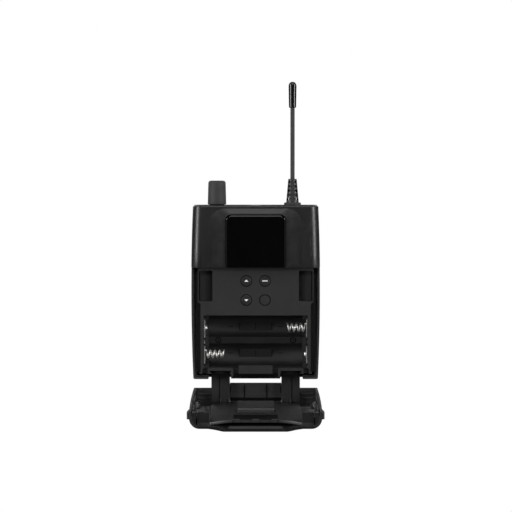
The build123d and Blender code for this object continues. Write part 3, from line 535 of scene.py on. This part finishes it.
def build_lens_edges():
    """Painted shade: dark strips down both sides of the lens, below its rounded corners, over the
    reflections on its side edges.
    """
    width, overlap, corner = 0.95, 0.02, 2.6
    low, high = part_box("display_lens")
    side, face = high.x / MM, low.y / MM - FRONT_Y
    strip = box_prism(
        across=(side - width, side + overlap),
        depths=set_in(face, proud=0.03, sunk=0.97),
        heights=(low.z / MM - FOOT_Z, high.z / MM - FOOT_Z - corner),
    )
    add_piece("lens_edge_shade", "pack", "shade", both([strip]))


def build_panel_gaps():
    """Painted shade: dark strips in the shadow gaps beside the button panel, over the tray's
    chamfer there, in the side grooves and along the catch pockets.
    """
    foot = 3.0
    gaps = [
        box_prism(
            across=(PANEL_HALF - 0.45, PANEL_HALF + 0.1),
            depths=set_in(PANEL_DEPTH, proud=0.06, sunk=2),
            heights=(foot, 40.9),
        ),
        box_prism(
            across=(33.5, 33.95),
            depths=set_in(GROOVE_DEPTH, proud=0.08, sunk=0.2),
            heights=(foot, 58.0),
        ),
        box_prism(
            across=(PANEL_HALF, 31.95),
            depths=set_in(POCKET_DEPTH, proud=0.08, sunk=0.1),
            heights=(POCKET_FOOT, 58.2),
        ),
    ]
    add_piece("panel_gap_shade", "pack", "shade", both(gaps))


# ---- details in the cell bay --------------------------------------------------------------------
def build_contact_notches():
    """Painted shade: dark discs for the shaded notches beside the ends of the contact plates."""
    side, radius = 28.3, 0.6
    plate_ends = (7.2, 18.2, 21.5, 33.7)
    depths = set_in(PANEL_DEPTH, proud=0.05, sunk=0.3)
    notch_discs = [face_prism(disc(side, z, radius), depths) for z in plate_ends]
    add_piece("contact_notch_shade", "pack", "shade", both(notch_discs))


def build_trough_marks():
    """In each trough a low label bar with dark bars across it, and a dash at either side."""
    dash_x, dash_half, dash_half_height = 14.0, 1.3, 0.18
    bar_x, bar_half, bar_half_height = 9.0, 0.12, 2.0
    label_half_height = 2.2
    dash_depths = set_in(TROUGH_DEPTH, proud=0.12)
    bar_depths = set_in(TROUGH_DEPTH, proud=0.5)
    label_depths = set_in(TROUGH_DEPTH, proud=0.35)
    marks = []
    labels = []
    for z in CELL_Z:
        for x in (-dash_x, dash_x):
            marks.append(box_prism(about(x, dash_half), dash_depths, about(z, dash_half_height)))
        for x in (-bar_x, 0.0, bar_x):
            marks.append(box_prism(about(x, bar_half), bar_depths, about(z, bar_half_height)))
        labels.append(box_prism(about(0.0, bar_x), label_depths, about(z, label_half_height)))
    add_piece("trough_marks", "pack", "shade", marks)
    add_piece("trough_labels", "pack", "tray", labels, bevel=0.1)


def build_screw_recesses():
    """Painted shade: a dark ring round each tray screw, and a dark socket in its head."""
    inner, outer, socket = 1.15, 1.75, 0.4
    low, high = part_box("tray_screws")
    head = (high.z - low.z) / 2
    screw_x, z = (high.x - head) / MM, (low.z + high.z) / 2 / MM - FOOT_Z
    rings = []
    sockets = []
    for x in (-screw_x, screw_x):
        rings.append((x, z, inner, outer, set_in(RIB_DEPTH, proud=0.08)))
        sockets.append(face_prism(disc(x, z, socket, HEX_STEPS), set_in(RIB_DEPTH, proud=0.12)))
    add_piece("screw_shade", "pack", "shade", sockets, rings)


# ---- details inside the door --------------------------------------------------------------------
def build_wall_details():
    """Painted shade along the foot wall: dark strips at its creases, in the gaps beside the hinge
    arms and where the cell pad shades the wall; and shelves beside the arms, in a lighter finish
    that paints highlights on them.
    """
    upright = box_prism(across=(5.95, 6.6), depths=(3.2, WALL_DEPTH), heights=(-0.3, 0.06))
    pad_shadow_strip = box_prism(across=about(0.0, 14.4), depths=(PLATE_DEPTH, 4.2), heights=(-0.3, 0.08))
    add_piece("wall_crease_shade", "door", "shade", both([upright]) + [pad_shadow_strip])

    arm_gap_strip = box_prism(across=(13.9, 15.0), depths=(2.5, WALL_DEPTH), heights=(-1.2, -0.3))
    add_piece("arm_gap_shade", "door", "shade", both([arm_gap_strip]))

    # painted highlights: the shelves take a lighter finish where they lie in shadow
    shelves = [
        box_prism(across=(25.4, 32.6), depths=about(depth, 0.4), heights=(-0.2, 0.95))
        for depth in (4.0, 6.5)
    ]
    add_piece("wall_shelves", "door", "ridge", both(shelves), bevel=0.15)


def build_latch_posts():
    """Hooked posts near the door's sides, outlined in depth and z, in a lighter finish that paints
    highlights on them.
    """
    outline = [(1.4, 24.4), (6.9, 26.0), (7.7, 26.8), (7.3, 27.9), (1.4, 29.6)]
    post = side_prism(outline, across=(31.4, 33.2))
    add_piece("latch_posts", "door", "ridge", both([post]), bevel=0.35)


def build_pad_brow():
    """The cell pad's upper edge, rounded down to the door's plate along an ellipse, in a darker
    finish: painted shade that tones down the highlight on its curve.
    """
    half_length, foot, top = 10.05, 31.6, 34.0
    middle_depth, middle_z, reach_depth, reach_z = 1.0, 31.7, 4.22, 2.3
    brow = [(PLATE_DEPTH, foot), (PAD_DEPTH, foot)]
    for degrees in BROW_ANGLES:
        angle = math.radians(degrees)
        brow.append((
            middle_depth + reach_depth * math.sin(angle),
            middle_z + reach_z * math.cos(angle),
        ))
    brow.append((PLATE_DEPTH, top))
    add_piece("pad_brow", "door", "pad", [side_prism(brow, about(0.0, half_length))])


def build_free_end():
    """Towards the door's free end: painted shade on a recess and the corner blocks, and painted
    highlights on a sheet in the hollow and on caps over the ridges.
    """
    # painted shade: dark sheets over the plate's shaded recess and slots
    sheet = set_in(PLATE_DEPTH, proud=0.1, sunk=0.12)
    slot = box_prism(across=(1.8, 12.0), depths=sheet, heights=(46.0, 48.8))
    recess = box_prism(across=about(0.0, 12.0), depths=sheet, heights=(36.2, 46.0))
    add_piece("plate_recess_shade", "door", "shade", both([slot]) + [recess])

    # painted highlight: a lighter sheet in the hollow by the free end
    highlight_sheet = box_prism(across=about(0.0, 14.5), depths=(-0.27, -0.12), heights=(53.5, 59.0))
    add_piece("hollow_highlight", "door", "ridge", [highlight_sheet])

    # painted shade: one dark sheet on each corner block's end, and two on its stepped top
    inner, step, outer = 24.95, 27.5, 31.2
    end_z = 58.72
    top = (8.55, 8.66)
    shade_sheets = [
        box_prism(across=(inner, outer), depths=(3.0, 8.45), heights=(58.5, end_z)),
        box_prism(across=(inner, step), depths=top, heights=(48.0, end_z)),
        box_prism(across=(step, outer), depths=top, heights=(54.6, end_z)),
    ]
    add_piece("corner_end_shade", "door", "housing", both(shade_sheets), bevel=0.08)

    # painted highlights: lighter caps on the ridges
    ridge_pitch = 10.3
    ridges = [
        box_prism(across=about(x, 1.6), depths=(2.7, 2.93), heights=(49.4, 50.6))
        for x in (-ridge_pitch, 0, ridge_pitch)
    ]
    add_piece("ridge_highlight_caps", "door", "ridge", ridges, bevel=0.1)


# ---- studio -------------------------------------------------------------------------------------
def split_by_view(tree, lighting, seen, output):
    """Gives an output one shader for the light it throws and another for what the camera sees."""
    path = tree.nodes.new("ShaderNodeLightPath")
    mix = tree.nodes.new("ShaderNodeMixShader")
    tree.links.new(path.outputs["Is Camera Ray"], mix.inputs["Fac"])
    tree.links.new(lighting, mix.inputs[1])
    tree.links.new(seen, mix.inputs[2])
    tree.links.new(mix.outputs["Shader"], tree.nodes[output].inputs["Surface"])


def build_world():
    """A white backdrop that throws hardly any light on the pack."""
    scene = bpy.context.scene
    scene.view_settings.view_transform = "Standard"
    world = bpy.data.worlds.new("studio")
    scene.world = world
    world.use_nodes = True
    tree = world.node_tree
    room = tree.nodes["Background"]
    room.inputs["Color"].default_value = opaque(WORLD_GREY)
    room.inputs["Strength"].default_value = WORLD_STRENGTH
    white = tree.nodes.new("ShaderNodeBackground")
    white.inputs["Color"].default_value = opaque(1.0)
    split_by_view(tree, room.outputs["Background"], white.outputs["Background"], "World Output")


def build_floor():
    """White ground below the pack."""
    z = CAD_BOX[0].z - FLOOR_DROP
    corners = [
        (-FLOOR_HALF, FLOOR_NEAR, z), (FLOOR_HALF, FLOOR_NEAR, z),
        (FLOOR_HALF, FLOOR_FAR, z), (-FLOOR_HALF, FLOOR_FAR, z),
    ]
    mesh = bpy.data.meshes.new("floor")
    mesh.from_pydata(corners, [], [(0, 1, 2, 3)])
    floor = bpy.data.objects.new("floor", mesh)
    bpy.context.scene.collection.objects.link(floor)

    material, tree, shader = new_material("floor_white")
    shader.inputs["Roughness"].default_value = 0.9
    shader.inputs["Specular IOR Level"].default_value = 0.0
    patches = noise(tree, scale=3)
    paint = ramp(tree, patches, FLOOR_BOUNCE, FLOOR_BOUNCE * FLOOR_UNEVEN)
    tree.links.new(paint, shader.inputs["Base Color"])
    glow = tree.nodes.new("ShaderNodeEmission")
    glow.inputs["Strength"].default_value = FLOOR_GLOW
    split_by_view(tree, shader.outputs["BSDF"], glow.outputs["Emission"], "Material Output")
    mesh.materials.append(material)


def add_area(name, place, width, height, power):
    """A rectangular light that faces the origin."""
    light = bpy.data.lights.new(name, "AREA")
    light.shape = "RECTANGLE"
    light.size, light.size_y = width, height
    light.energy = power
    lamp = bpy.data.objects.new(name, light)
    lamp.location = place
    lamp.rotation_euler = (-Vector(place)).to_track_quat("-Z", "Y").to_euler()
    bpy.context.scene.collection.objects.link(lamp)


def build_lights():
    for name, azimuth, elevation, width, height, power in LIGHTS:
        sides = ((-1, "_left"), (1, "_right")) if azimuth else ((1, ""),)
        for side, suffix in sides:
            turn, lift = math.radians(side * azimuth), math.radians(elevation)
            reach = LIGHT_DISTANCE * math.cos(lift)
            rise = LIGHT_DISTANCE * math.sin(lift)
            place = (reach * math.sin(turn), -reach * math.cos(turn), rise)
            add_area(name + suffix, place, width, height, power)


def build_camera():
    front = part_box("front_housing")[0].y + HUMP
    data = bpy.data.cameras.new("camera")
    data.sensor_width = SENSOR_WIDTH
    data.lens = FOCAL_LENGTH
    camera = bpy.data.objects.new("camera", data)
    camera.location = (CAMERA_SHIFT, front - CAMERA_DISTANCE, CAMERA_HEIGHT)
    target = Vector((CAMERA_SHIFT, front, CAMERA_AIM))
    camera.rotation_euler = (target - camera.location).to_track_quat("-Z", "Y").to_euler()
    bpy.context.scene.collection.objects.link(camera)
    bpy.context.scene.camera = camera


dress_cad_nodes()
soften_mouldings()
build_key_marks()
build_key_gaps()
build_lens_edges()
build_panel_gaps()
build_contact_notches()
build_trough_marks()
build_screw_recesses()
build_wall_details()
build_latch_posts()
build_pad_brow()
build_free_end()
build_world()
build_floor()
build_lights()
build_camera()
